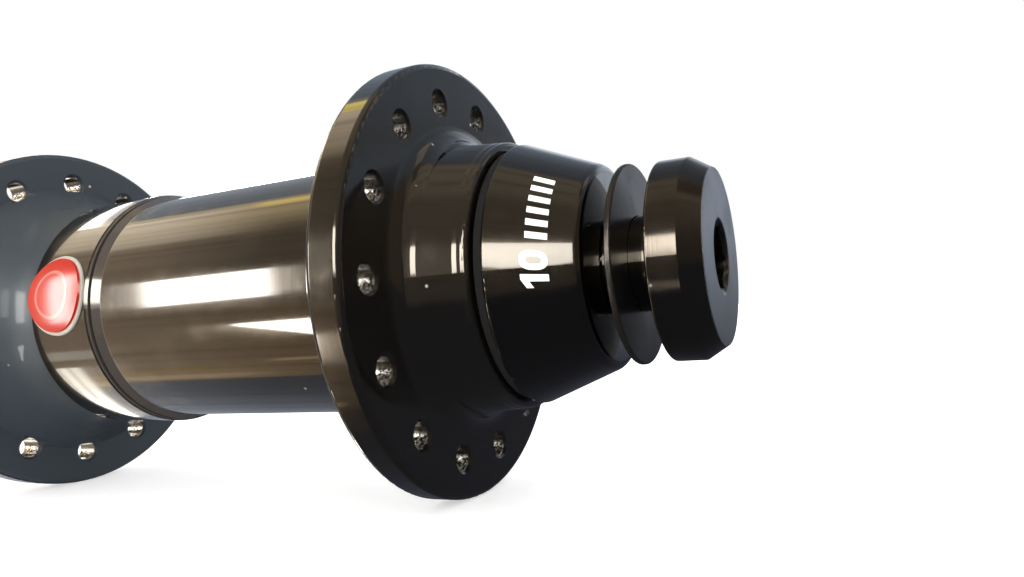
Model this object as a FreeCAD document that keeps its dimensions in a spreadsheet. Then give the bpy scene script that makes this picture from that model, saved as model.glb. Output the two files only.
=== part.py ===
import FreeCAD, Part
import math
import os

import Sketcher

# A bolt-on front bicycle hub, in millimetres. The wheel axis is Y, +Z is up, and the origin is midway between
# the dropout faces. Every side piece is drawn for the right-hand (+Y) end, and its left-hand twin is the same
# piece turned half a turn about Z.

SIZES = {
    # hub shell
    "flange_radius": 23.2,
    "flange_face": 33.5,
    "flange_thickness": 3.6,
    "flange_rim_round": 0.6,
    "tube_radius": 14.0,
    "band_radius": 14.75,
    "band_edge": 8.85,
    "band_chamfer": 0.4,
    "band_chamfer_drop": 0.2,
    "groove_width": 0.45,
    "groove_floor": 13.9,
    "collar_radius": 14.5,
    "collar_length": 0.95,
    "band_flare_start": 18.8,
    "band_flare_radius": 19.0,
    "tube_flare_start": 22.5,
    "tube_flare_radius": 9.1,
    "housing_tip_radius": 13.85,
    "housing_foot_radius": 14.46,
    "housing_end": 40.5,
    "housing_fillet": 2.4,
    "housing_round": 0.5,
    "shell_bore": 10.6,
    # spoke holes
    "spoke_circle": 19.0,
    "spoke_hole": 1.3,
    "spoke_sink": 0.3,
    "spoke_count": 14,
    # cartridge bearings, 15 x 24 x 5
    "bearing_floor": 34.6,
    "bearing_width": 5.0,
    "bearing_outside": 12.0,
    "bearing_bore": 7.5,
    "inner_land": 8.75,
    "outer_land": 10.75,
    "ball_circle": 9.75,
    "ball_radius": 1.19,
    "track_radius": 1.25,
    "ball_count": 16,
    "cage_inside": 9.3,
    "cage_outside": 10.2,
    "cage_width": 3.2,
    "cage_pocket": 1.27,
    "shield_inset": 0.15,
    "shield_thickness": 0.5,
    "shield_gap": 0.1,
    # hollow axle
    "axle_shoulder": 8.6,
    "axle_end": 44.5,
    "axle_bore": 5.0,
    "axle_chamfer": 0.5,
    "ring_place": 42.7,
    "ring_circle": 7.06,
    "ring_thickness": 0.43,
    "ring_groove_floor": 6.6,
    "ring_groove_half": 0.55,
    # end caps
    "cap_bore": 7.52,
    "cap_boss": 8.9,
    "cap_back": 41.6,
    "cap_face": 50.0,
    "cap_large": 13.5,
    "cap_small": 10.14,
    "cap_back_round": 0.25,
    "cap_face_round": 1.0,
    "cap_bolt_hole": 5.15,
    "cap_socket_gap": 0.1,
    # rubber dust seals behind the end caps
    "dust_radius": 13.0,
    "dust_inside": 8.92,
    "dust_face": 40.75,
    "dust_gap": 0.05,
    "lip_tip": 39.9,
    "lip_inside": 10.6,
    "lip_outside": 11.3,
    "lip_root": 11.6,
    # captive washers
    "washer_inside": 4.8,
    "washer_radius": 9.9,
    "washer_back": 52.05,
    "washer_thickness": 0.6,
    "washer_round": 0.2,
    # axle bolts
    "bolt_tip": 26.0,
    "thread_radius": 4.93,
    "thread_end": 41.5,
    "thread_chamfer": 0.45,
    "shank_radius": 4.7,
    "head_back": 55.55,
    "head_radius": 9.7,
    "head_bevel_start": 58.45,
    "head_face": 60.45,
    "head_face_radius": 8.45,
    "head_round": 0.25,
    "hex_flats": 6.0,
    "hex_depth": 5.0,
    "hex_lead_radius": 3.7,
    "hex_lead_depth": 0.45,
    # round badge on the band
    "badge_place": 14.0,
    "badge_tilt": 8.0,
    "badge_radius": 4.75,
    "badge_dome_radius": 4.4,
    "badge_base_thickness": 0.25,
    "badge_crown": 15.7,
    "badge_crown_width": 12.1,
    "badge_crown_length": 20.6,
}

RIGHT = 0.0
LEFT = 180.0
SIDES = {"right": RIGHT, "left": LEFT}
FULL_TURN = 360.0
HEX_SIDES = 6
SAME = 1e-4

document = FreeCAD.newDocument("FrontHub")
sub_parts = []


class Length:
    """A length that carries its number and the spreadsheet expression it comes from."""

    def __init__(self, number, expression):
        self.number = number
        self.expression = expression

    def __add__(self, other):
        return Length(self.number + other.number, f"({self.expression} + {other.expression})")

    def __sub__(self, other):
        return Length(self.number - other.number, f"({self.expression} - {other.expression})")

    def __neg__(self):
        return Length(-self.number, f"(0 - {self.expression})")

    def halved(self):
        return Length(self.number / 2, f"({self.expression} / 2)")


def make_sheet():
    """Writes every driving dimension to its own named cell."""
    sheet = document.addObject("Spreadsheet::Sheet", "Sizes")
    for row, (name, number) in enumerate(SIZES.items(), start=1):
        sheet.set(f"A{row}", name)
        sheet.set(f"B{row}", str(number))
        sheet.setAlias(f"B{row}", name)
    document.recompute()


def size(name):
    """Gives one driving dimension with its cell."""
    return Length(SIZES[name], f"Sizes.{name}")


def turned(angle):
    """The placement of a side piece: as drawn for the right-hand end, or turned about Z for the left."""
    return FreeCAD.Placement(FreeCAD.Vector(), FreeCAD.Rotation(FreeCAD.Vector(0, 0, 1), angle))


def new_body(label, angle=RIGHT):
    """Starts a sub-part as a PartDesign body."""
    body = document.addObject("PartDesign::Body", label)
    body.Label = label
    body.Placement = turned(angle)
    sub_parts.append(body)
    return body


def new_sketch(body, name, plane, offset=None):
    """Puts a sketch on one of the body's own origin planes."""
    sketch = body.newObject("Sketcher::SketchObject", f"{body.Name}_{name}")
    support = next(f for f in body.Origin.OriginFeatures if f.Role == plane)
    sketch.AttachmentSupport = [(support, "")]
    sketch.MapMode = "FlatFace"
    if offset is not None:
        sketch.setExpression(".AttachmentOffset.Base.z", offset.expression)
    return sketch


def bind(sketch, kind, anchor, length):
    """Adds one dimension to a sketch and ties it to the spreadsheet."""
    index = sketch.addConstraint(Sketcher.Constraint(kind, *anchor, length.number))
    sketch.setExpression(f"Constraints[{index}]", length.expression)


def place_point(sketch, geometry, point, across, along):
    """Fixes a sketch point by its distances from the origin; None leaves one to other constraints."""
    if across is not None and across.number == 0:
        sketch.addConstraint(Sketcher.Constraint("PointOnObject", geometry, point, -2))
    elif across is not None:
        bind(sketch, "DistanceX", (-1, 1, geometry, point), across)
    if along is not None:
        bind(sketch, "DistanceY", (-1, 1, geometry, point), along)


def draw_outline(sketch, corners, arcs=None):
    """Draws a closed outline through the corners. arcs maps an edge's number to its centre and to the corner
    whose distance from the wheel axis the arc decides. Every arc runs anticlockwise."""
    arcs = arcs or {}
    count = len(corners)
    points = [FreeCAD.Vector(across.number, along.number, 0) for across, along in corners]
    for edge in range(count):
        first, last = points[edge], points[(edge + 1) % count]
        if edge not in arcs:
            sketch.addGeometry(Part.LineSegment(first, last), False)
            continue
        centre, free_corner = arcs[edge]
        middle = FreeCAD.Vector(centre[0].number, centre[1].number, 0)
        fixed = last if free_corner == edge else first
        circle = Part.Circle(middle, FreeCAD.Vector(0, 0, 1), (fixed - middle).Length)
        angles = [math.atan2(p.y - middle.y, p.x - middle.x) % math.tau for p in (first, last)]
        sketch.addGeometry(Part.ArcOfCircle(circle, *angles), False)
        place_point(sketch, edge, 3, *centre)
    for edge in range(count):
        sketch.addConstraint(Sketcher.Constraint("Coincident", edge, 2, (edge + 1) % count, 1))
    free_corners = [free_corner for _, free_corner in arcs.values()]
    for corner, (across, along) in enumerate(corners):
        place_point(sketch, corner, 1, None if corner in free_corners else across, along)


def revolve(body, corners, arcs=None):
    """Turns an outline about the wheel axis into the body's first solid."""
    sketch = new_sketch(body, "outline", "XY_Plane")
    draw_outline(sketch, corners, arcs)
    solid = body.newObject("PartDesign::Revolution", f"{body.Name}_turning")
    solid.Profile = sketch
    solid.ReferenceAxis = (sketch, ["V_Axis"])
    solid.Angle = FULL_TURN
    document.recompute()
    return solid


def rims(feature, *places):
    """Names a feature's circular edges at the given radii and distances along the wheel axis."""
    names = []
    for number, edge in enumerate(feature.Shape.Edges, start=1):
        curve = edge.Curve
        if not isinstance(curve, Part.Circle):
            continue
        for across, along in places:
            if abs(curve.Radius - across.number) < SAME and abs(curve.Center.y - along.number) < SAME:
                names.append(f"Edge{number}")
    return names


def round_rims(body, base, radius, name, *places):
    """Rounds or fills the circular edges at the given places."""
    fillet = body.newObject("PartDesign::Fillet", f"{body.Name}_{name}")
    fillet.Base = (base, rims(base, *places))
    fillet.setExpression("Radius", radius.expression)
    document.recompute()
    return fillet


def cut_track(body, centre_along):
    """Grinds a ball track, a round groove about the wheel axis, into a race."""
    sketch = new_sketch(body, "track", "XY_Plane")
    centre = FreeCAD.Vector(SIZES["ball_circle"], centre_along.number, 0)
    circle = Part.Circle(centre, FreeCAD.Vector(0, 0, 1), SIZES["track_radius"])
    geometry = sketch.addGeometry(circle, False)
    place_point(sketch, geometry, 3, size("ball_circle"), centre_along)
    bind(sketch, "Radius", (geometry,), size("track_radius"))
    track = body.newObject("PartDesign::Groove", f"{body.Name}_grinding")
    track.Profile = sketch
    track.ReferenceAxis = (sketch, ["V_Axis"])
    track.Angle = FULL_TURN
    document.recompute()
    return track


def repeat_round(body, feature, count_name):
    """Repeats a cut evenly round the wheel axis."""
    axis = next(f for f in body.Origin.OriginFeatures if f.Role == "Y_Axis")
    pattern = body.newObject("PartDesign::PolarPattern", f"{feature.Name}_ring")
    pattern.Originals = [feature]
    pattern.Axis = (axis, [""])
    pattern.Angle = FULL_TURN
    pattern.setExpression("Occurrences", f"Sizes.{count_name}")
    body.Tip = pattern
    document.recompute()
    return pattern


def make_ring(label, inside, outside, low, high, angle=RIGHT):
    """A plain ring of rectangular section about the wheel axis."""
    body = new_body(label, angle)
    revolve(body, [(inside, low), (outside, low), (outside, high), (inside, high)])
    return body


def flare_top(name, inner_face):
    """The radius where a flare meets the flange's inner face. The sketch's arc decides it, not a cell."""
    radius, start = SIZES[f"{name}_flare_radius"], SIZES[f"{name}_flare_start"]
    rise = radius - math.sqrt(radius ** 2 - (inner_face.number - start) ** 2)
    return Length(SIZES[f"{name}_radius"] + rise, "")


def shell_outline():
    """Corners of the shell's half section, from the right-hand bearing seat outwards, and its two flares."""
    face, end, floor = size("flange_face"), size("housing_end"), size("bearing_floor")
    rim, tip, foot = size("flange_radius"), size("housing_tip_radius"), size("housing_foot_radius")
    tube, band = size("tube_radius"), size("band_radius")
    inner_face = face - size("flange_thickness")
    groove_end = size("groove_width") - size("band_edge")
    chamfer_end = -size("band_edge") - size("band_chamfer")
    tube_flare_top = flare_top("tube", inner_face)
    band_flare_top = flare_top("band", inner_face)
    corners = [
        (size("bearing_outside"), floor),
        (size("bearing_outside"), end),
        (tip, end),
        (foot, face),
        (rim, face),
        (rim, inner_face),
        (tube_flare_top, inner_face),
        (tube, size("tube_flare_start")),
        (tube, groove_end + size("collar_length")),
        (size("collar_radius"), groove_end),
        (size("groove_floor"), groove_end),
        (size("groove_floor"), -size("band_edge")),
        (band - size("band_chamfer_drop"), -size("band_edge")),
        (band, chamfer_end),
        (band, -size("band_flare_start")),
        (band_flare_top, -inner_face),
        (rim, -inner_face),
        (rim, -face),
        (foot, -face),
        (tip, -end),
        (size("bearing_outside"), -end),
        (size("bearing_outside"), -floor),
        (size("shell_bore"), -floor),
        (size("shell_bore"), floor),
    ]
    tube_centre = (tube + size("tube_flare_radius"), size("tube_flare_start"))
    band_centre = (band + size("band_flare_radius"), -size("band_flare_start"))
    tube_flare, band_flare = 6, 14
    return corners, {tube_flare: (tube_centre, tube_flare), band_flare: (band_centre, band_flare + 1)}


def drill_spoke_holes(body, name, plane, direction):
    """Drills one flange's spoke holes, countersunk on both faces. The seed hole is drawn on a plane that holds
    its own axis, with the wheel axis along the sketch's X or Y."""
    sketch = new_sketch(body, name, plane)
    inner_face = size("flange_face") - size("flange_thickness")
    middle, wall, sink = size("spoke_circle"), size("spoke_circle") + size("spoke_hole"), size("spoke_sink")
    reach = sink + sink
    steps = [
        (middle, inner_face - reach),
        (wall + sink + reach, inner_face - reach),
        (wall, inner_face + sink),
        (wall, size("flange_face") - sink),
        (wall + sink + reach, size("flange_face") + reach),
        (middle, size("flange_face") + reach),
    ]
    if direction > 0:
        corners = steps
    else:
        corners = [(-along, across) for across, along in steps]
    draw_outline(sketch, corners)
    ends = [FreeCAD.Vector(corners[k][0].number, corners[k][1].number, 0) for k in (0, -1)]
    axis_line = sketch.addGeometry(Part.LineSegment(*ends), True)
    sketch.addConstraint(Sketcher.Constraint("Coincident", axis_line, 1, 0, 1))
    sketch.addConstraint(Sketcher.Constraint("Coincident", axis_line, 2, len(corners) - 1, 1))
    hole = body.newObject("PartDesign::Groove", f"{body.Name}_{name}")
    hole.Profile = sketch
    hole.ReferenceAxis = (sketch, ["Axis0"])
    hole.Angle = FULL_TURN
    document.recompute()
    return repeat_round(body, hole, "spoke_count")


def make_shell():
    """One-piece shell: two flanges, the bearing housings outside them, the tube, and the badge's band."""
    body = new_body("hub_shell")
    corners, arcs = shell_outline()
    solid = revolve(body, corners, arcs)
    rim, face = size("flange_radius"), size("flange_face")
    tip, foot, end = size("housing_tip_radius"), size("housing_foot_radius"), size("housing_end")
    inner_face = face - size("flange_thickness")
    rim_edges = [(rim, face), (rim, inner_face), (rim, -face), (rim, -inner_face)]
    housing_feet = [(foot, face), (foot, -face)]
    solid = round_rims(body, solid, size("flange_rim_round"), "rim_rounds", *rim_edges)
    solid = round_rims(body, solid, size("housing_fillet"), "housing_fillets", *housing_feet)
    round_rims(body, solid, size("housing_round"), "housing_rounds", (tip, end), (tip, -end))
    before = body.Shape.Volume
    drill_spoke_holes(body, "right_spoke_hole", "XY_Plane", 1)
    drill_spoke_holes(body, "left_spoke_hole", "YZ_Plane", -1)
    drilled = before - body.Shape.Volume
    plain = 2 * SIZES["spoke_count"] * math.pi * SIZES["spoke_hole"] ** 2 * SIZES["flange_thickness"]
    print(f"spoke holes removed {drilled:.1f} mm3, plain holes would be {plain:.1f}")


def make_badge():
    """Round badge wrapped on the band: a thin backing disc and a domed face."""
    tilt = FreeCAD.Rotation(FreeCAD.Vector(0, 1, 0), -SIZES["badge_tilt"])
    face_out = FreeCAD.Rotation(FreeCAD.Vector(0, 1, 0), 90)
    along_axis = FreeCAD.Rotation(FreeCAD.Vector(1, 0, 0), -90)
    base_top = "Sizes.band_radius + Sizes.badge_base_thickness"
    skins = {
        "badge_base": ("badge_radius", "Sizes.band_radius", base_top),
        "badge_dome": ("badge_dome_radius", base_top, None),
    }
    for label, (disc_radius, inside, outside) in skins.items():
        plug = document.addObject("Part::Cylinder", f"{label}_plug")
        plug.setExpression("Radius", f"Sizes.{disc_radius}")
        plug.setExpression("Height", "Sizes.flange_radius")
        plug.Placement = FreeCAD.Placement(FreeCAD.Vector(), face_out)
        plug.setExpression(".Placement.Base.y", "0 - Sizes.badge_place")
        if outside is None:
            outer = document.addObject("Part::Ellipsoid", f"{label}_outer")
            outer.setExpression("Radius1", "Sizes.badge_crown_width")
            outer.setExpression("Radius2", "Sizes.badge_crown")
            outer.setExpression("Radius3", "Sizes.badge_crown_length")
            outer.setExpression(".Placement.Base.y", "0 - Sizes.badge_place")
        else:
            outer = document.addObject("Part::Cylinder", f"{label}_outer")
            outer.setExpression("Radius", outside)
            outer.setExpression("Height", "Sizes.flange_face")
            outer.Placement = FreeCAD.Placement(FreeCAD.Vector(), along_axis)
            outer.setExpression(".Placement.Base.y", "0 - Sizes.flange_face")
        core = document.addObject("Part::Cylinder", f"{label}_core")
        core.setExpression("Radius", inside)
        core.setExpression("Height", "2 * Sizes.flange_face")
        core.Placement = FreeCAD.Placement(FreeCAD.Vector(), along_axis)
        core.setExpression(".Placement.Base.y", "0 - 1.5 * Sizes.flange_face")
        skin = document.addObject("Part::Cut", f"{label}_skin")
        skin.Base, skin.Tool = outer, core
        disc = document.addObject("Part::Common", label)
        disc.Base, disc.Tool = plug, skin
        disc.Label = label
        disc.Placement = FreeCAD.Placement(FreeCAD.Vector(), tilt)
        sub_parts.append(disc)
    document.recompute()


def make_bearing(side, angle):
    """Cartridge bearing: two races, a ring of balls in their cage, and a rubber seal on each face."""
    floor = size("bearing_floor")
    front = floor + size("bearing_width")
    middle = floor + size("bearing_width").halved()
    make_ring(f"{side}_inner_race", size("bearing_bore"), size("inner_land"), floor, front, angle)
    cut_track(sub_parts[-1], middle)
    make_ring(f"{side}_outer_race", size("outer_land"), size("bearing_outside"), floor, front, angle)
    cut_track(sub_parts[-1], middle)
    lip, land = size("inner_land") + size("shield_gap"), size("outer_land")
    inset, thick = size("shield_inset"), size("shield_thickness")
    make_ring(f"{side}_bearing_seal_inboard", lip, land, floor + inset, floor + inset + thick, angle)
    make_ring(f"{side}_bearing_seal_outboard", lip, land, front - inset - thick, front - inset, angle)
    make_balls(side, angle, middle)
    make_cage(side, angle, middle)


def make_balls(side, angle, middle):
    """The ring of balls, one sphere each."""
    balls = []
    for number in range(SIZES["ball_count"]):
        ball = document.addObject("Part::Sphere", f"{side}_ball_{number}")
        ball.setExpression("Radius", "Sizes.ball_radius")
        step = f"({number} * 360 deg / Sizes.ball_count)"
        ball.setExpression(".Placement.Base.x", f"Sizes.ball_circle * cos{step}")
        ball.setExpression(".Placement.Base.z", f"Sizes.ball_circle * sin{step}")
        ball.setExpression(".Placement.Base.y", middle.expression)
        balls.append(ball)
    group = document.addObject("Part::Compound", f"{side}_balls")
    group.Links = balls
    group.Label = f"{side}_balls"
    group.Placement = turned(angle)
    sub_parts.append(group)
    document.recompute()


def make_cage(side, angle, middle):
    """Ball cage: a ring with one round pocket for each ball."""
    low, high = middle - size("cage_width").halved(), middle + size("cage_width").halved()
    body = make_ring(f"{side}_cage", size("cage_inside"), size("cage_outside"), low, high, angle)
    sketch = new_sketch(body, "pocket_outline", "YZ_Plane")
    centre = FreeCAD.Vector(middle.number, 0, 0)
    geometry = sketch.addGeometry(Part.Circle(centre, FreeCAD.Vector(0, 0, 1), SIZES["cage_pocket"]), False)
    bind(sketch, "DistanceX", (-1, 1, geometry, 3), middle)
    sketch.addConstraint(Sketcher.Constraint("PointOnObject", geometry, 3, -1))
    bind(sketch, "Radius", (geometry,), size("cage_pocket"))
    pocket = body.newObject("PartDesign::Pocket", f"{body.Name}_pocket")
    pocket.Profile = sketch
    pocket.Type = "ThroughAll"
    pocket.Midplane = True
    document.recompute()
    repeat_round(body, pocket, "ball_count")


def make_axle():
    """Hollow axle with a shoulder behind each bearing and a groove near each end for a retaining ring."""
    floor, end, seat = size("bearing_floor"), size("axle_end"), size("bearing_bore")
    chamfer, bore, shoulder = size("axle_chamfer"), size("axle_bore"), size("axle_shoulder")
    groove_floor = size("ring_groove_floor")
    groove_low = size("ring_place") - size("ring_groove_half")
    groove_high = size("ring_place") + size("ring_groove_half")
    half = [
        (shoulder, floor),
        (seat, floor),
        (seat, groove_low),
        (groove_floor, groove_low),
        (groove_floor, groove_high),
        (seat, groove_high),
        (seat, end - chamfer),
        (seat - chamfer, end),
        (bore, end),
    ]
    other_half = [(across, -along) for across, along in reversed(half)]
    revolve(new_body("axle"), half + other_half)


def make_cap(side, angle):
    """Conical end cap: its boss clamps the inner race, and its small face seats against the dropout."""
    bore, boss, back, face = (size(n) for n in ("cap_bore", "cap_boss", "cap_back", "cap_face"))
    race_face = size("bearing_floor") + size("bearing_width")
    socket_end = size("axle_end") + size("cap_socket_gap")
    body = new_body(f"{side}_end_cap", angle)
    solid = revolve(body, [
        (bore, race_face),
        (boss, race_face),
        (boss, back),
        (size("cap_large"), back),
        (size("cap_small"), face),
        (size("cap_bolt_hole"), face),
        (size("cap_bolt_hole"), socket_end),
        (bore, socket_end),
    ])
    solid = round_rims(body, solid, size("cap_face_round"), "face_round", (size("cap_small"), face))
    round_rims(body, solid, size("cap_back_round"), "back_round", (size("cap_large"), back))


def make_retaining_ring(side, angle):
    """Rubber ring that grips the end cap on the axle."""
    ring = document.addObject("Part::Torus", f"{side}_cap_ring_source")
    ring.setExpression("Radius1", "Sizes.ring_circle")
    ring.setExpression("Radius2", "Sizes.ring_thickness")
    ring.Placement = FreeCAD.Placement(FreeCAD.Vector(), FreeCAD.Rotation(FreeCAD.Vector(1, 0, 0), 90))
    ring.setExpression(".Placement.Base.y", "Sizes.ring_place")
    group = document.addObject("Part::Compound", f"{side}_cap_ring")
    group.Links = [ring]
    group.Label = f"{side}_cap_ring"
    group.Placement = turned(angle)
    sub_parts.append(group)


def make_dust_seal(side, angle):
    """Rubber ring behind the end cap, with a lip that reaches into the bearing housing."""
    body = new_body(f"{side}_dust_seal", angle)
    back = size("cap_back") - size("dust_gap")
    revolve(body, [
        (size("dust_inside"), size("dust_face")),
        (size("lip_inside"), size("dust_face")),
        (size("lip_inside"), size("lip_tip")),
        (size("lip_outside"), size("lip_tip")),
        (size("lip_root"), size("dust_face")),
        (size("dust_radius"), size("dust_face")),
        (size("dust_radius"), back),
        (size("dust_inside"), back),
    ])


def make_washer(side, angle):
    """Thin washer that stays captive on the bolt's plain shank."""
    outer, back = size("washer_radius"), size("washer_back")
    front = back + size("washer_thickness")
    body = make_ring(f"{side}_washer", size("washer_inside"), outer, back, front, angle)
    round_rims(body, body.Tip, size("washer_round"), "rounds", (outer, back), (outer, front))


def make_bolt(side, angle):
    """Axle bolt: threaded end, thinner plain shank, round bevelled head with a hexagon socket."""
    centre = Length(0.0, "0")
    tip, thread, chamfer = size("bolt_tip"), size("thread_radius"), size("thread_chamfer")
    shank, head, head_face = size("shank_radius"), size("head_radius"), size("head_face")
    lead_floor = head_face - size("hex_lead_depth")
    body = new_body(f"{side}_bolt", angle)
    solid = revolve(body, [
        (centre, tip),
        (thread - chamfer, tip),
        (thread, tip + chamfer),
        (thread, size("thread_end")),
        (shank, size("thread_end") + (thread - shank)),
        (shank, size("head_back")),
        (head, size("head_back")),
        (head, size("head_bevel_start")),
        (size("head_face_radius"), head_face),
        (size("hex_lead_radius"), head_face),
        (size("hex_lead_radius") - size("hex_lead_depth"), lead_floor),
        (centre, lead_floor),
    ])
    round_rims(body, solid, size("head_round"), "back_round", (head, size("head_back")))
    cut_hexagon(body)


def cut_hexagon(body):
    """Cuts the hexagon socket inwards from the head's face, with two flats parallel to X."""
    before = body.Shape.Volume
    sketch = new_sketch(body, "hexagon", "XZ_Plane", -size("head_face"))
    corner_radius = SIZES["hex_flats"] / math.sqrt(3)
    directions = [math.tau * k / HEX_SIDES for k in range(HEX_SIDES)]
    corners = [FreeCAD.Vector(math.cos(d), math.sin(d), 0) * corner_radius for d in directions]
    for k in range(HEX_SIDES):
        sketch.addGeometry(Part.LineSegment(corners[k], corners[(k + 1) % HEX_SIDES]), False)
    guide = sketch.addGeometry(Part.Circle(FreeCAD.Vector(), FreeCAD.Vector(0, 0, 1), corner_radius), True)
    sketch.addConstraint(Sketcher.Constraint("Coincident", guide, 3, -1, 1))
    for k in range(HEX_SIDES):
        sketch.addConstraint(Sketcher.Constraint("Coincident", k, 2, (k + 1) % HEX_SIDES, 1))
        sketch.addConstraint(Sketcher.Constraint("PointOnObject", k, 1, guide))
    for k in range(HEX_SIDES - 1):
        sketch.addConstraint(Sketcher.Constraint("Equal", k, k + 1))
    sketch.addConstraint(Sketcher.Constraint("PointOnObject", 0, 1, -1))
    radius = sketch.addConstraint(Sketcher.Constraint("Radius", guide, corner_radius))
    sketch.setExpression(f"Constraints[{radius}]", "Sizes.hex_flats / sqrt(3)")
    socket = body.newObject("PartDesign::Pocket", f"{body.Name}_socket")
    socket.Profile = sketch
    socket.Type = "Length"
    socket.Reversed = True
    socket.setExpression("Length", "Sizes.hex_depth")
    document.recompute()
    print(f"{body.Label}: socket removed {before - body.Shape.Volume:.1f} mm3")


def check_document():
    """Stops if any object failed, or any sub-part is empty or invalid."""
    document.recompute()
    failed = [o.Name for o in document.Objects if "Invalid" in o.State or "Error" in o.State]
    if failed:
        raise RuntimeError(f"failed objects: {failed}")
    for piece in sub_parts:
        if piece.Shape.isNull() or not piece.Shape.isValid() or not piece.Shape.Solids:
            raise RuntimeError(f"bad shape: {piece.Label}")


def export_parts():
    """Writes each sub-part to its own STEP file."""
    os.makedirs("parts", exist_ok=True)
    for piece in sub_parts:
        piece.Shape.exportStep(f"parts/{piece.Label}.step")
        box = piece.Shape.BoundBox
        print(f"{piece.Label}: {len(piece.Shape.Solids)} solid(s), volume {piece.Shape.Volume:.1f} mm3, "
              f"y {box.YMin:.2f} to {box.YMax:.2f}, z to {box.ZMax:.2f}")


make_sheet()
make_shell()
make_badge()
make_axle()
for side_name, side_angle in SIDES.items():
    make_bearing(side_name, side_angle)
    make_cap(side_name, side_angle)
    make_retaining_ring(side_name, side_angle)
    make_dust_seal(side_name, side_angle)
    make_washer(side_name, side_angle)
    make_bolt(side_name, side_angle)
check_document()
export_parts()
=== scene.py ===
"""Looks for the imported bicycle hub: camera, studio, materials and printed details around the CAD frame."""

import math

import bmesh
import bpy
from mathutils import Matrix, Vector


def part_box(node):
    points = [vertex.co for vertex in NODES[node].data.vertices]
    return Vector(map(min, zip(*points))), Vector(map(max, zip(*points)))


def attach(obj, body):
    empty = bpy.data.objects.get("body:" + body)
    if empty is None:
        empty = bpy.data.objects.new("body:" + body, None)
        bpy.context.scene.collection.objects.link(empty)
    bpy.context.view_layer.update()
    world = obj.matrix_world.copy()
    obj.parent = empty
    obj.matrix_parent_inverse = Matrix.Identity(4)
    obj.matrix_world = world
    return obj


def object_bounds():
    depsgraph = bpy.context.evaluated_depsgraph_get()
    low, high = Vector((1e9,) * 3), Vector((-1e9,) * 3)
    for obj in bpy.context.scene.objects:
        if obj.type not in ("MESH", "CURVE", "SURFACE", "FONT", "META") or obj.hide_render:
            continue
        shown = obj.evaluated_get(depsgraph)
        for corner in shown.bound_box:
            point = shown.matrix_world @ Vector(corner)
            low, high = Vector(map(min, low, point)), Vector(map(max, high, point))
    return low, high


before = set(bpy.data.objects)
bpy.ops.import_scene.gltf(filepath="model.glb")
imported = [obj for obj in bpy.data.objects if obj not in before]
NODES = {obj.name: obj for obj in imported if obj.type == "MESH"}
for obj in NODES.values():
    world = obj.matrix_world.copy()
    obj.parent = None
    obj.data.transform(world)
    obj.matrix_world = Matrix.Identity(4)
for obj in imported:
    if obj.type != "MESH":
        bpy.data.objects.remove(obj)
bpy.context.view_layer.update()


MM = 0.001
SIDES = (("right", 1.0), ("left", -1.0))

# ---------------------------------------------------------------- sizes, in metres: first those read from the frame
BOLT_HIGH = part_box("right_bolt")[1]
BADGE_LOW, BADGE_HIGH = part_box("badge_dome")

SPOKES = 14
SPOKE_CIRCLE = 19.0 * MM
SPOKE_HOLE = 1.3 * MM
HEX_CORNER = 3.47 * MM
HEX_FLOOR_Y = BOLT_HIGH.y - 5.0 * MM
CONE_BASE_Y, CONE_BASE_R = 41.6 * MM, 13.5 * MM
CONE_SLOPE = 0.4
LEFT_SATIN = (-30.1 * MM, -18.8 * MM)
RIGHT_SATIN = (29.7 * MM, 30.1 * MM)
SATIN_FADE = 0.3 * MM
GROOVE = (-9.1 * MM, -7.4 * MM)
GROOVE_RADIUS = 14.60 * MM
HOUSING = (34.0 * MM, 39.8 * MM)
HOUSING_RADIUS = 16.6 * MM
HOUSING_RIDGES = ((35.05 * MM, 35.35 * MM), (39.15 * MM, 39.45 * MM))
HOUSING_TAPER, RIDGE_DROP = 0.58, 0.30


# ---------------------------------------------------------------- node helpers
class Val:
    """A node socket; arithmetic on it adds Math nodes."""

    def __init__(self, tree, socket):
        self.tree, self.socket = tree, socket

    def op(self, name, *others):
        node = self.tree.nodes.new("ShaderNodeMath")
        node.operation = name
        for slot, item in zip(node.inputs, (self,) + others):
            feed(self.tree, slot, item)
        return Val(self.tree, node.outputs[0])

    def __add__(self, other):
        return self.op("ADD", other)

    def __sub__(self, other):
        return self.op("SUBTRACT", other)

    def __mul__(self, other):
        return self.op("MULTIPLY", other)

    def __truediv__(self, other):
        return self.op("DIVIDE", other)

    def __abs__(self):
        return self.op("ABSOLUTE")

    def step(self, low, high):
        """0 at low, 1 at high, smooth between."""
        node = self.tree.nodes.new("ShaderNodeMapRange")
        node.interpolation_type = "SMOOTHSTEP"
        feed(self.tree, node.inputs["Value"], self)
        feed(self.tree, node.inputs["From Min"], low)
        feed(self.tree, node.inputs["From Max"], high)
        return Val(self.tree, node.outputs["Result"])

    def between(self, low, high, soft):
        return self.step(low - soft, low) * self.step(high + soft, high)


def feed(tree, slot, item):
    if isinstance(item, Val):
        tree.links.new(item.socket, slot)
    elif isinstance(item, (tuple, list)) and slot.type == "RGBA":
        slot.default_value = (*item, 1.0)
    else:
        slot.default_value = item


def add(tree, kind, output=0, props=None, **inputs):
    """A new node's output; inputs are named with _ for a space."""
    node = tree.nodes.new("ShaderNode" + kind)
    for key, value in (props or {}).items():
        setattr(node, key, value)
    for key, value in inputs.items():
        feed(tree, node.inputs[key.replace("_", " ")], value)
    return Val(tree, node.outputs[output])


def mix(tree, factor, first, second):
    node = tree.nodes.new("ShaderNodeMix")
    node.data_type = "RGBA"
    feed(tree, node.inputs["Factor"], factor)
    feed(tree, node.inputs[6], first)
    feed(tree, node.inputs[7], second)
    return Val(tree, node.outputs[2])


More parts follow.
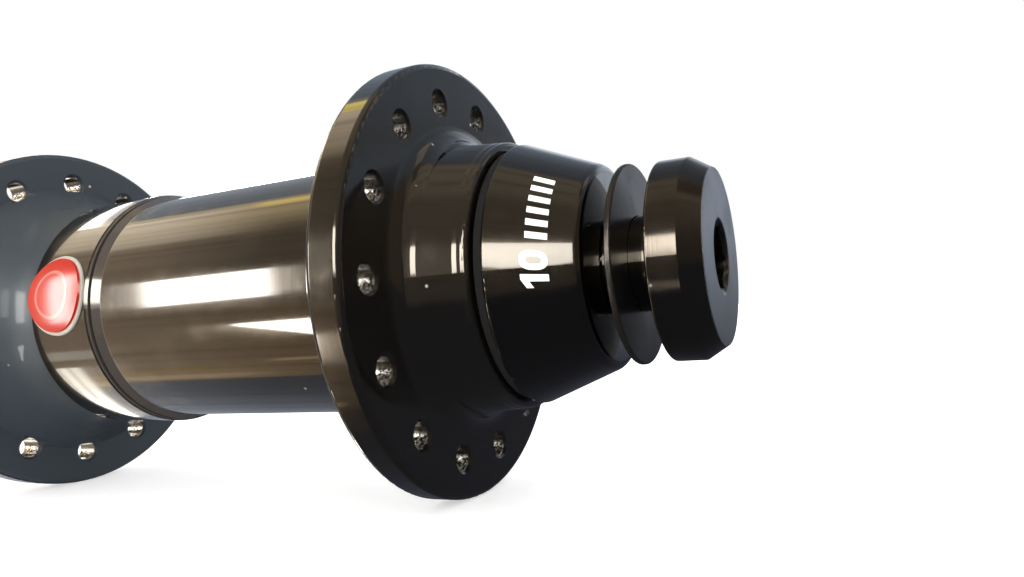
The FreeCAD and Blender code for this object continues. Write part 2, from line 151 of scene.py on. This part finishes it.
def noise(tree, vector, scale, detail=2.0, rough=0.5, flat=None):
    """Noise of 0 to 1; flat takes a number socket and makes the noise one-dimensional."""
    if flat is not None:
        return add(tree, "TexNoise", "Fac", {"noise_dimensions": "1D"}, W=flat, Scale=scale, Detail=detail,
                   Roughness=rough)
    return add(tree, "TexNoise", "Fac", None, Vector=vector, Scale=scale, Detail=detail, Roughness=rough)


def parts_of(tree, vector):
    node = tree.nodes.new("ShaderNodeSeparateXYZ")
    feed(tree, node.inputs[0], vector)
    return [Val(tree, out) for out in node.outputs]


# ---------------------------------------------------------------- camera
CAMERA_PLACE = Vector((76.274, 74.220, -4.132)) * MM
CAMERA_AIM = Vector((-0.05, 38.32, -1.30)) * MM
CAMERA_ROLL = math.radians(-4.085)
CAMERA_LENS = 27.89

camera_data = bpy.data.cameras.new("camera")
camera_data.lens = CAMERA_LENS
camera_data.sensor_width = 36.0
camera_data.clip_start = 0.005
camera = bpy.data.objects.new("camera", camera_data)
bpy.context.scene.collection.objects.link(camera)
look = (CAMERA_AIM - CAMERA_PLACE).to_track_quat("-Z", "Y").to_matrix().to_4x4()
camera.matrix_world = Matrix.Translation(CAMERA_PLACE) @ look @ Matrix.Rotation(CAMERA_ROLL, 4, "Z")
bpy.context.scene.camera = camera

# ---------------------------------------------------------------- room
# The room around the object as gloss sees it, painted in layers. Each panel has a colour, its brightness, its
# span of angle along the axle (-90 is the left end), its span of angle round the axle (0 is +X, 90 is up), and
# how soft those two edges are.
WALLS = (
    ("low brown", (0.22, 0.19, 0.15), 1.0, (-60, 40), (-14, 24), (8, 8)),
    ("mid brown", (0.40, 0.34, 0.26), 1.0, (-60, 44), (24, 98), (8, 8)),
    ("upper brown", (0.58, 0.50, 0.37), 1.0, (-26, 34), (74, 97), (8, 10)),
    ("far brown", (0.20, 0.16, 0.11), 1.0, (54, 90), (0, 160), (8, 14)),
    ("cool top", (0.68, 0.82, 1.00), 0.33, (-90, 46), (106, 174), (8, 6)),
    ("cool side", (0.80, 0.88, 1.00), 0.95, (-26, 18), (156, 172), (6, 14)),
    ("rim brown", (0.40, 0.32, 0.22), 1.0, (-41, -32), (-54, 62), (2, 16)),
    ("rim glow", (1.60, 1.32, 0.98), 1.0, (-41, -32), (78, 101), (2, 12)),
    ("housing window", (0.62, 0.54, 0.44), 1.0, (25, 40), (2, 25), (2, 4)),
    ("housing dark band", (0.22, 0.15, 0.10), 1.0, (27, 36), (90, 110), (2, 1.5)),
    ("housing light band", (0.72, 0.63, 0.56), 1.0, (27, 36), (111, 134), (2, 2)),
    ("head strip", (1.00, 0.90, 0.76), 1.5, (-18, -12.5), (-31, -25), (1, 2)),
    ("flare glint", (1.00, 0.96, 0.90), 2.0, (-28.5, -24.5), (-32, -24), (1.5, 3)),
    ("right wall", (0.44, 0.35, 0.25), 1.0, (-58, -39), (-8, 104), (2, 3)),
    ("right wall low", (0.80, 0.58, 0.36), 1.0, (-58, -39), (-82, -8), (2, 3)),
    ("warm wall", (1.05, 0.82, 0.59), 1.0, (-90, -51), (-82, 104), (10, 3)),
    ("gold low", (1.20, 0.86, 0.46), 1.0, (-90, -48), (-81, -66), (9, 2.5)),
    ("gold line", (1.70, 1.30, 0.85), 1.0, (-58, -46), (-79, -76), (5, 1.5)),
    ("gold glint", (1.90, 1.40, 0.85), 1.0, (-41.5, -38.5), (-63.2, -61.4), (1.5, 0.8)),
    ("top fall", (1.50, 1.18, 0.68), 1.0, (-54, -38.5), (90, 104), (4, 32)),
    ("warm top", (2.35, 1.98, 1.48), 1.0, (-90, -49), (70, 104), (9, 6)),
    ("warm top edge", (1.30, 1.08, 0.80), 1.0, (-60, -38.5), (101.5, 107), (3, 1.5)),
    ("yellow", (2.60, 1.95, 0.60), 1.0, (-41.2, -38.3), (98, 102), (1.5, 2.5)),
    ("yellow rim", (2.60, 2.05, 0.55), 1.0, (-35.2, -33), (102.5, 108), (0.8, 1.5)),
    ("cool back", (0.80, 0.88, 1.00), 0.42, (-90, -38.6), (108, 205), (2, 2.5)),
    ("cool below right", (0.80, 0.88, 1.05), 0.26, (-58, -38.6), (-180, -84), (2, 3)),
    ("cool below", (0.80, 0.88, 1.02), 0.43, (-90, -51), (-180, -84), (10, 3)),
    ("left end", (0.33, 0.27, 0.18), 1.0, (-90, -60), (-150, 140), (3, 10)),
)
LIGHTS = (
    ("back window", (1.00, 0.97, 0.92), 12.0, (-55, -34), (161, 182), (3, 2)),
    ("band glow", (2.00, 1.80, 1.52), 1.0, (-58, -53.0), (-46, -39), (0.8, 2.5)),
    ("window tail", (1.00, 0.90, 0.78), 1.7, (-51.5, -40.2), (0, 24), (0.8, 3.5)),
    ("tube window", (1.00, 0.98, 0.94), 22.0, (-49.0, -42.9), (-2.0, 25.4), (1.8, 1.2)),
    ("flare window", (1.00, 0.98, 0.94), 9.0, (-35, -30.5), (3, 24), (1.5, 3)),
    ("long window", (1.00, 0.96, 0.87), 13.0, (-17.2, 22.5), (9, 25.5), (0.9, 1.6)),
)
WEDGE_LIGHT = (24.0, 23.0, 21.0)
WEDGE_TIP, WEDGE_SLOPE = (44.8, -25.0), -2.57
ARC_LIGHT = (6.8, 6.3, 5.5)
# for each bent strip: its middle round the axle, bend, distance along the axle, and where it starts and ends
ARCS = ((-58.0, -0.040, -53.9, -57.0, -141.0), (100.0, 0.045, -51.8, 148.0, 99.0))
ARC_BLINDS = ((0.62, 0.72), (1.22, 1.32))
ROOM_DARK = (0.046, 0.054, 0.074)
STREAK = (0.10, 0.075, 0.05)

world = bpy.data.worlds.new("room")
world.use_nodes = True
world.cycles.sampling_method = "NONE"
bpy.context.scene.world = world
tree = world.node_tree
tree.nodes.clear()
east, north, top = parts_of(tree, add(tree, "TexCoord", "Generated"))
axial = north.op("ARCSINE") * math.degrees(1)
around = top.op("ARCTAN2", east) * math.degrees(1)


def panel_mask(span, turn, soft):
    middle = 0.5 * (turn[0] + turn[1])
    away = abs((around - middle).op("WRAP", 180.0, -180.0))
    reach = 0.5 * (turn[1] - turn[0])
    return axial.between(*span, soft[0]) * away.step(reach + soft[1], reach)


room = add(tree, "RGB")
room.socket.default_value = (*ROOM_DARK, 1.0)
for _, colour, power, span, turn, soft in WALLS:
    room = mix(tree, panel_mask(span, turn, soft), room, tuple(c * power for c in colour))
# long uneven streaks on the walls, then the lights
streaks = noise(tree, None, 0.16, 4.0, 0.65, flat=around + axial * 0.22)
room = mix(tree, streaks.step(0.40, 0.72) * 0.34, room, STREAK)
for _, colour, power, span, turn, soft in LIGHTS:
    room = mix(tree, panel_mask(span, turn, soft), room, tuple(c * power for c in colour))
# a wedge of light lower down, wider toward the right
low_edge = (axial + WEDGE_TIP[0]) * WEDGE_SLOPE + WEDGE_TIP[1]
wedge = axial.step(-45.2, -44.2) * axial.step(-39.1, -39.3) * around.step(-22.8, -24.0)
wedge = wedge * (around - low_edge).step(-0.6, 0.6)
room = mix(tree, wedge, room, WEDGE_LIGHT)
# two bent strips with thin blinds, above and below
for middle, bend, along, high, low in ARCS:
    inside = (around - middle) * bend + along - axial
    strip = inside.step(-0.25, 0.30) * inside.step(4.5, 3.5) * around.between(low, high, 2.0)
    blinds = inside.between(*ARC_BLINDS[0], 0.12) + inside.between(*ARC_BLINDS[1], 0.12)
    room = mix(tree, strip * (blinds * -0.55 + 1.0), room, ARC_LIGHT)

rays = tree.nodes.new("ShaderNodeLightPath")
seen = Val(tree, rays.outputs["Is Camera Ray"])
glossy = Val(tree, rays.outputs["Is Glossy Ray"])
# matt surfaces get an even light, brighter from above
above = top * 0.55 + 1.55
soft_light = add(tree, "CombineColor", 0, None, Red=above, Green=above, Blue=above)
light = mix(tree, glossy, soft_light, room)
light = mix(tree, seen, light, (1.0, 1.0, 1.0))
shade = tree.nodes.new("ShaderNodeBackground")
feed(tree, shade.inputs["Color"], light)
out = tree.nodes.new("ShaderNodeOutputWorld")
tree.links.new(shade.outputs[0], out.inputs["Surface"])

scene = bpy.context.scene
scene.view_settings.view_transform = "Standard"
scene.view_settings.look = "None"
scene.cycles.use_denoising = True


# ---------------------------------------------------------------- mesh helpers
def piece(name, points, faces, material, body, smooth=True):
    data = bpy.data.meshes.new(name)
    data.from_pydata([tuple(p) for p in points], [], faces)
    data.validate()
    data.update()
    if smooth:
        data.shade_smooth()
    data.materials.append(material)
    obj = bpy.data.objects.new(name, data)
    scene.collection.objects.link(obj)
    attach(obj, body)
    return obj


# ---------------------------------------------------------------- floor, level with the lowest point of the flanges
floor_data = bpy.data.meshes.new("floor")
grid = bmesh.new()
bmesh.ops.create_grid(grid, x_segments=8, y_segments=8, size=3.0)
grid.to_mesh(floor_data)
grid.free()
floor = bpy.data.objects.new("floor", floor_data)
floor.location = (0.0, 0.0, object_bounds()[0].z)
scene.collection.objects.link(floor)
floor.visible_glossy = False


# ---------------------------------------------------------------- materials
def blank(name):
    material = bpy.data.materials.new(name)
    material.use_nodes = True
    tree = material.node_tree
    tree.nodes.clear()
    shader = tree.nodes.new("ShaderNodeBsdfPrincipled")
    output = tree.nodes.new("ShaderNodeOutputMaterial")
    tree.links.new(shader.outputs[0], output.inputs["Surface"])
    place = add(tree, "TexCoord", "Object")
    return material, tree, shader, place


def bump(tree, shader, height, distance, base=None):
    normal = add(tree, "Bump", "Normal", None, Height=height, Distance=distance, Strength=1.0)
    if base:
        feed(tree, normal.socket.node.inputs["Normal"], base)
    feed(tree, shader.inputs["Normal"], normal)
    if base:
        feed(tree, shader.inputs["Coat Normal"], base)


def leaned(tree, toward, amount):
    """The surface normal leaned toward a direction of the piece, as if it were flatter or more tapered there."""
    normal = add(tree, "NewGeometry", "Normal")
    turned = add(tree, "VectorTransform", "Vector", {"vector_type": "VECTOR", "convert_from": "OBJECT",
                                                     "convert_to": "WORLD"}, Vector=toward)
    push = add(tree, "VectorMath", "Vector", {"operation": "SCALE"}, Vector=turned, Scale=amount)
    both = tree.nodes.new("ShaderNodeVectorMath")
    feed(tree, both.inputs[0], normal)
    feed(tree, both.inputs[1], push)
    return add(tree, "VectorMath", "Vector", {"operation": "NORMALIZE"}, Vector=Val(tree, both.outputs[0]))


def specks(tree, place, scale, size, share):
    """Sparse dust: a share of the cells of a Voronoi pattern carry one dot each."""
    node = tree.nodes.new("ShaderNodeTexVoronoi")
    feed(tree, node.inputs["Vector"], place)
    feed(tree, node.inputs["Scale"], scale)
    dot = Val(tree, node.outputs["Distance"]).step(size, size * 0.4)
    pick = parts_of(tree, Val(tree, node.outputs["Color"]))[0].step(1.0 - share, 1.0 - share + 0.02)
    return dot * pick


def spoke_holes(tree, x, y, z):
    """1 on the drilled walls of the spoke holes."""
    pitch = 2 * math.pi / SPOKES
    radius = (x * x + z * z).op("SQRT")
    left = y.op("LESS_THAN", 0.0)
    turn = z.op("ARCTAN2", x) + left * (0.5 * pitch)
    side = turn.op("WRAP", 0.5 * pitch, -0.5 * pitch) * SPOKE_CIRCLE
    off = radius - SPOKE_CIRCLE
    away = (side * side + off * off).op("SQRT")
    return away.step(SPOKE_HOLE + 0.07 * MM, SPOKE_HOLE + 0.02 * MM)


def inner_faces(y):
    """1 on the flanges' inner faces and the left flare, which are less polished."""
    left = y.step(LEFT_SATIN[1] + 0.5 * MM, LEFT_SATIN[1]) * y.step(LEFT_SATIN[0] - SATIN_FADE, LEFT_SATIN[0])
    right = y.step(RIGHT_SATIN[0] - 0.4 * MM, RIGHT_SATIN[0]) * y.step(RIGHT_SATIN[1] + SATIN_FADE, RIGHT_SATIN[1])
    return left + right


def hex_socket(tree, x, y, z):
    """1 on the worn streaks inside the bolt's key socket."""
    radius = (x * x + z * z).op("SQRT")
    worn = noise(tree, None, 700.0, 1.0, 0.5, flat=z + x * 0.6).step(0.50, 0.60)
    inside = radius.step(HEX_CORNER + 0.25 * MM, HEX_CORNER) * abs(y).step(HEX_FLOOR_Y - 0.3 * MM, HEX_FLOOR_Y)
    return inside * worn


def facet_glints_and_bumps(tree, place, size):
    """Value of each small facet of torn bare metal: it sets the facet's bump, and which facets get a painted glint.
    """
    node = tree.nodes.new("ShaderNodeTexVoronoi")
    feed(tree, node.inputs["Vector"], place)
    feed(tree, node.inputs["Scale"], 1.0 / size)
    return parts_of(tree, Val(tree, node.outputs["Color"]))[0]


def black_metal(name, base, rough, lines, haze=0.10, turned=0.0012, dust=0.12, metal_share=0.90, coat=1.0,
                bare=None, satin=None):
    """Polished blackened metal: turned lines, hazy patches and dust. bare(tree, x, y, z) is 1 where the metal is raw:
    in the spoke holes or in the bolt's hex socket, where raw facets facing up get a painted glint and the rest a
    painted shade. satin(y) is 1 where it is less polished."""
    material, tree, shader, place = blank(name)
    x, y, z = parts_of(tree, place)
    radius = (x * x + z * z).op("SQRT")
    cloud = noise(tree, place, 260.0, 4.0, 0.62)
    fine = noise(tree, place, 1900.0, 3.0, 0.6)
    rings = noise(tree, place, lines, 2.0, 0.7, flat=y + radius)
    colour = mix(tree, cloud.step(0.35, 0.75), tuple(c * 0.92 for c in base), tuple(c * 1.10 for c in base))
    gloss = cloud.step(0.45, 0.80) * haze + fine * 0.03 + rings * (turned * 12.0) + rough
    height = rings * (turned * MM) + fine * (0.00025 * MM)
    dots = specks(tree, place, 420.0, 0.11, dust)
    if not coat:
        # the outer end faces are left matt, with fine tool marks
        face = abs(y).step(BOLT_HIGH.y - 0.12 * MM, BOLT_HIGH.y - 0.04 * MM)
        weave = noise(tree, place, 5200.0, 1.0, 0.5)
        gloss = gloss + face * 0.26
        height = height + face * weave * (0.004 * MM)
        colour = mix(tree, face * 0.85, colour, (0.40, 0.42, 0.46))
    if bare:
        up = parts_of(tree, add(tree, "TexCoord", "Normal"))[2]
        raw = bare(tree, x, y, z)
        facets = facet_glints_and_bumps(tree, place, 0.20 * MM)
        # raw metal: facets facing up get a painted glint, the rest a painted shade
        painted_glint = facets.step(0.15, 0.85) * up.step(-0.30, 0.25)
        colour = mix(tree, raw, colour, mix(tree, painted_glint, (0.035, 0.032, 0.030), (0.98, 0.95, 0.88)))
        gloss = gloss + raw * 0.12
        height = height + raw * facets * (0.05 * MM)
    metal = cloud * 0.02 + metal_share
    if satin:
        soft = satin(y)
        colour = mix(tree, soft, colour, (0.041, 0.052, 0.064))
        gloss = gloss + soft * 0.32
        metal = metal * (soft * -0.85 + 1.0)
        # the shallow groove beside the badge is lighter, browner and less metallic
        groove = y.between(*GROOVE, 0.1 * MM) * radius.step(GROOVE_RADIUS + 0.14 * MM, GROOVE_RADIUS)
        colour = mix(tree, groove, colour, (0.085, 0.072, 0.062))
        metal = metal * (groove * -0.6 + 1.0)
        feed(tree, shader.inputs["Coat Weight"], soft * -0.85 + 1.0)
    else:
        shader.inputs["Coat Weight"].default_value = coat
    colour = mix(tree, dots, colour, (0.42, 0.40, 0.36))
    feed(tree, shader.inputs["Base Color"], colour)
    feed(tree, shader.inputs["Metallic"], metal * (dots * -1.0 + 1.0))
    feed(tree, shader.inputs["Roughness"], gloss + dots * 0.4)
    shader.inputs["Coat Roughness"].default_value = 0.03
    base_normal = None
    if satin:
        # the bearing housings taper more toward their mouths than the turned shape does
        outward = add(tree, "CombineXYZ", 0, None, Y=y.op("SIGN"))
        facing = abs(parts_of(tree, add(tree, "NewGeometry", "Normal"))[1])
        along = abs(y)
        ridge = along.between(*HOUSING_RIDGES[0], 0.12 * MM) + along.between(*HOUSING_RIDGES[1], 0.12 * MM)
        short = (facing * facing * -1.0 + 1.0).op("SQRT") * (ridge * -RIDGE_DROP + HOUSING_TAPER) - facing
        housing = along.step(HOUSING[0] - 0.2 * MM, HOUSING[0]) * along.step(HOUSING[1] + 0.3 * MM, HOUSING[1])
        housing = housing * radius.step(HOUSING_RADIUS + 0.4 * MM, HOUSING_RADIUS)
        base_normal = leaned(tree, outward, housing * short.op("MAXIMUM", 0.0))
    bump(tree, shader, height, 1.0, base_normal)
    return material


def bright_metal(name, base, rough, lines, depth):
    """Bare turned or ground metal."""
    material, tree, shader, place = blank(name)
    x, y, z = parts_of(tree, place)
    radius = (x * x + z * z).op("SQRT")
    rings = noise(tree, place, lines, 2.0, 0.7, flat=y + radius)
    cloud = noise(tree, place, 300.0, 3.0, 0.6)
    feed(tree, shader.inputs["Base Color"],
         mix(tree, cloud, tuple(c * 0.88 for c in base), tuple(min(c * 1.08, 1.0) for c in base)))
    shader.inputs["Metallic"].default_value = 1.0
    feed(tree, shader.inputs["Roughness"], cloud * 0.10 + rings * 0.08 + rough)
    bump(tree, shader, rings, depth * MM)
    return material


def moulded(name, base, rough, grain, depth, coat=0.0):
    """Rubber or plastic with a moulded grain."""
    material, tree, shader, place = blank(name)
    cloud = noise(tree, place, 350.0, 3.0, 0.6)
    pits = noise(tree, place, grain, 2.0, 0.6)
    feed(tree, shader.inputs["Base Color"],
         mix(tree, cloud, tuple(c * 0.80 for c in base), tuple(c * 1.25 for c in base)))
    feed(tree, shader.inputs["Roughness"], cloud * 0.12 + pits * 0.06 + rough)
    shader.inputs["Coat Weight"].default_value = coat
    shader.inputs["Coat Roughness"].default_value = 0.06
    bump(tree, shader, pits, depth * MM)
    return material


# the way the badge's flat top faces at rest
BADGE_FACE = (0.994, 0.082, 0.074)


def badge_red(name):
    """A domed red enamel disc with a thin pale ring under its gloss."""
    material, tree, shader, place = blank(name)
    middle = (BADGE_LOW + BADGE_HIGH) / 2
    spread = add(tree, "VectorMath", "Value", {"operation": "DISTANCE"})
    node = spread.socket.node
    feed(tree, node.inputs[0], place)
    node.inputs[1].default_value = middle
    ring = spread.between(2.62 * MM, 2.92 * MM, 0.06 * MM)
    cloud = noise(tree, place, 500.0, 3.0, 0.6)
    red = mix(tree, cloud, (0.38, 0.012, 0.006), (0.46, 0.022, 0.008))
    feed(tree, shader.inputs["Base Color"], mix(tree, ring * 0.5, red, (0.62, 0.30, 0.24)))
    feed(tree, shader.inputs["Roughness"], cloud * 0.10 + 0.20)
    shader.inputs["Specular IOR Level"].default_value = 0.1
    shader.inputs["Coat Weight"].default_value = 0.55
    shader.inputs["Coat Roughness"].default_value = 0.12
    bump(tree, shader, cloud, 0.004 * MM, leaned(tree, BADGE_FACE, 1.5))
    return material


floor_paint = moulded("floor_paint", (0.72, 0.72, 0.72), 0.8, 60.0, 0.0)
floor_shader = floor_paint.node_tree.nodes["Principled BSDF"]
floor_shader.inputs["Emission Color"].default_value = (1.0, 1.0, 1.0, 1.0)
floor_shader.inputs["Emission Strength"].default_value = 0.50
floor_data.materials.append(floor_paint)

BLACK = (0.042, 0.036, 0.029)
LOOKS = {
    "black_shell": black_metal("shell_black", BLACK, 0.11, 2600.0, bare=spoke_holes, satin=inner_faces),
    "black_cap": black_metal("cap_black", BLACK, 0.13, 2200.0, metal_share=0.97, haze=0.12, dust=0.18),
    "black_bolt": black_metal("bolt_black", (0.080, 0.071, 0.062), 0.09, 3600.0, metal_share=0.97, turned=0.004,
                              coat=0.0, bare=hex_socket),
    "black_washer": black_metal("washer_black", (0.070, 0.064, 0.058), 0.26, 4200.0, turned=0.001, coat=0.0),
    "axle_alloy": bright_metal("axle_turned", (0.45, 0.45, 0.46), 0.22, 3600.0, 0.003),
    "bearing_steel": bright_metal("bearing_ground", (0.62, 0.62, 0.63), 0.16, 6000.0, 0.0015),
    "ball_steel": bright_metal("ball_polished", (0.75, 0.75, 0.76), 0.05, 1500.0, 0.0003),
    "cage_polymer": moulded("cage_moulded", (0.55, 0.50, 0.38), 0.40, 2400.0, 0.010),
    "seal_rubber": moulded("seal_moulded", (0.020, 0.020, 0.020), 0.50, 3200.0, 0.012),
    "dust_rubber": moulded("dust_seal_moulded", (0.003, 0.003, 0.0035), 0.80, 3600.0, 0.012),
    "badge_rim": moulded("badge_rim_gloss", (0.46, 0.42, 0.36), 0.25, 1800.0, 0.003, coat=0.6),
    "badge_red": badge_red("badge_enamel"),
}
for node in NODES.values():
    slot = node.data.materials[0].name.split(".")[0]
    node.data.materials[0] = LOOKS[slot]

INK = moulded("white_ink", (0.86, 0.85, 0.82), 0.45, 2600.0, 0.004)


# ---------------------------------------------------------------- printed size mark on the end caps
INK_LIFT = 0.012 * MM
INK_THICK = 0.03 * MM
MARK_HEIGHT = 2.55 * MM
MARK_BASE_Y = 47.3 * MM
INK_EDGE = 0.45 * MM


def cone_radius(y):
    return CONE_BASE_R - CONE_SLOPE * (y - CONE_BASE_Y)


def on_cone(along, up, lift, side):
    """along runs round the cap from 0 degrees upward, up runs from the mark's foot toward the flange."""
    y = MARK_BASE_Y - up * math.cos(math.atan(CONE_SLOPE))
    radius = cone_radius(y) + lift
    turn = along / cone_radius(MARK_BASE_Y - 0.5 * MARK_HEIGHT)
    point = Vector((radius * math.cos(turn), y, radius * math.sin(turn)))
    return point if side > 0 else Vector((point.x, -point.y, -point.z))


ONE = ((0.17, 0.0), (0.42, 0.0), (0.42, 1.0), (0.24, 1.0), (-0.06, 0.80), (-0.06, 0.56), (0.17, 0.70))
ZERO_MIDDLE, ZERO_HALF, ZERO_STROKE = 0.92, 0.35, 0.22


def numerals(height):
    """The number 10 in plain block strokes, as a flat mesh starting at 0."""
    work = bmesh.new()
    work.faces.new([work.verts.new((a * height, b * height, 0.0)) for a, b in ONE])
    turns = [2 * math.pi * i / 40 for i in range(40)]
    rings = []
    for inset in (0.0, ZERO_STROKE):
        ring = []
        for turn in turns:
            c, s = math.cos(turn), math.sin(turn)
            square = (abs(c) ** 2.6 + abs(s) ** 2.6) ** (-1 / 2.6)
            across = (ZERO_HALF - inset) * c * square + ZERO_MIDDLE
            ring.append(work.verts.new((across * height, ((0.5 - inset) * s * square + 0.5) * height, 0.0)))
        rings.append(ring)
    outer, inner = rings
    for i in range(40):
        j = (i + 1) % 40
        work.faces.new([outer[i], outer[j], inner[j], inner[i]])
    return work


def bars(count, width, gap, height):
    work = bmesh.new()
    for i in range(count):
        left = i * (width + gap)
        corners = [(left, 0.0), (left + width, 0.0), (left + width, height), (left, height)]
        work.faces.new([work.verts.new((*c, 0.0)) for c in corners])
    return work


def cut_fine(work, longest):
    bmesh.ops.remove_doubles(work, verts=work.verts, dist=1e-6)
    bmesh.ops.triangulate(work, faces=work.faces)
    for _ in range(8):
        long_edges = [e for e in work.edges if e.calc_length() > longest]
        if not long_edges:
            break
        bmesh.ops.subdivide_edges(work, edges=long_edges, cuts=1)
        bmesh.ops.triangulate(work, faces=work.faces)


def print_on_cap(name, work, start, lean, side, body):
    """Wraps a flat mark round the end cap and gives it the thickness of a coat of ink."""
    cut_fine(work, INK_EDGE)
    work.normal_update()
    if work.faces and sum(f.normal.z for f in work.faces) < 0:
        bmesh.ops.reverse_faces(work, faces=work.faces)
    flat = [v.co.copy() for v in work.verts]
    index = {v: i for i, v in enumerate(work.verts)}
    count = len(flat)
    top = [tuple(index[v] for v in f.verts) for f in work.faces]
    rims = []
    for e in work.edges:
        if len(e.link_faces) == 1:
            loop = e.link_loops[0]
            a, b = index[loop.vert], index[loop.link_loop_next.vert]
            rims.append((b, a, a + count, b + count))
    work.free()
    points = []
    for lift in (INK_LIFT + INK_THICK, -INK_LIFT):
        for p in flat:
            points.append(on_cone(start + p.x + lean * p.y, p.y, lift, side))
    faces = top + [tuple(i + count for i in reversed(f)) for f in top] + rims
    return piece(name, points, faces, INK, body, smooth=False)


for side_name, side in SIDES:
    reach = cone_radius(MARK_BASE_Y - 0.5 * MARK_HEIGHT)
    print_on_cap(f"{side_name}_size_number", numerals(MARK_HEIGHT), math.radians(-9.0) * reach, 0.10, side,
                 "axle_assembly")
    print_on_cap(f"{side_name}_size_bars", bars(6, 0.62 * MM, 0.62 * MM, 0.80 * MARK_HEIGHT),
                 math.radians(12.0) * reach, 0.10, side, "axle_assembly")
